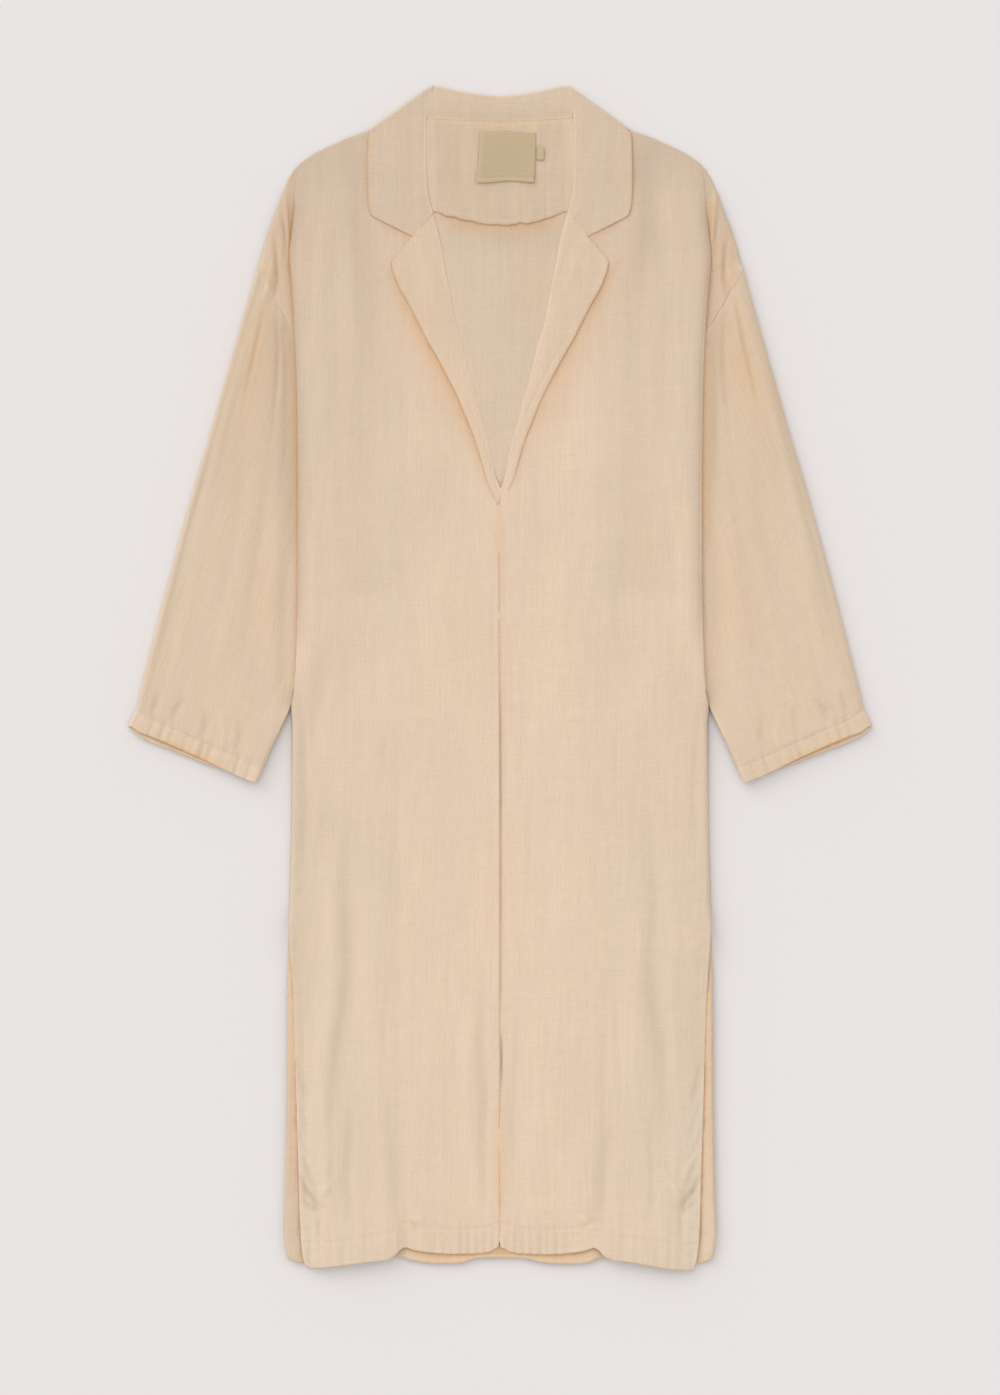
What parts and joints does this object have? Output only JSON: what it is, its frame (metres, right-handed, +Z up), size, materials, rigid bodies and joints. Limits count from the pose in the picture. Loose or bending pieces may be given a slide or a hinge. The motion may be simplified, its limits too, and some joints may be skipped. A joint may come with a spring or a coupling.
{
  "type": "linen coat",
  "caption": "Open linen duster coat laid flat on its back, with notched collar, dropped shoulders, wide straight sleeves and side slits; garment to be worn or displayed.",
  "frame": {"origin": "centre of the coat's box in plan, on the surface that it lies on", "axes": "+Y from hem to collar along the centre line, +X to the wearer's left, +Z up out of the front"},
  "size_m": [0.7436, 1.1836, 0.0094],
  "materials": {
    "linen_body": "matte, open plain weave with slubs",
    "linen_back": "matte, open plain weave with slubs",
    "linen_sleeve": "matte, open plain weave with slubs",
    "linen_collar": "matte, doubled cloth",
    "label_tape": "smooth woven tape, plain"
  },
  "bodies": {
    "root": {"back": "linen_back", "front_right": "linen_body", "front_left": "linen_body", "sleeve_right": "linen_sleeve", "sleeve_left": "linen_sleeve", "lapel_right": "linen_collar", "lapel_left": "linen_collar", "collar": "linen_collar", "neck_facing": "linen_collar", "label": "label_tape", "size_tab": "label_tape"}
  },
  "joints": []
}
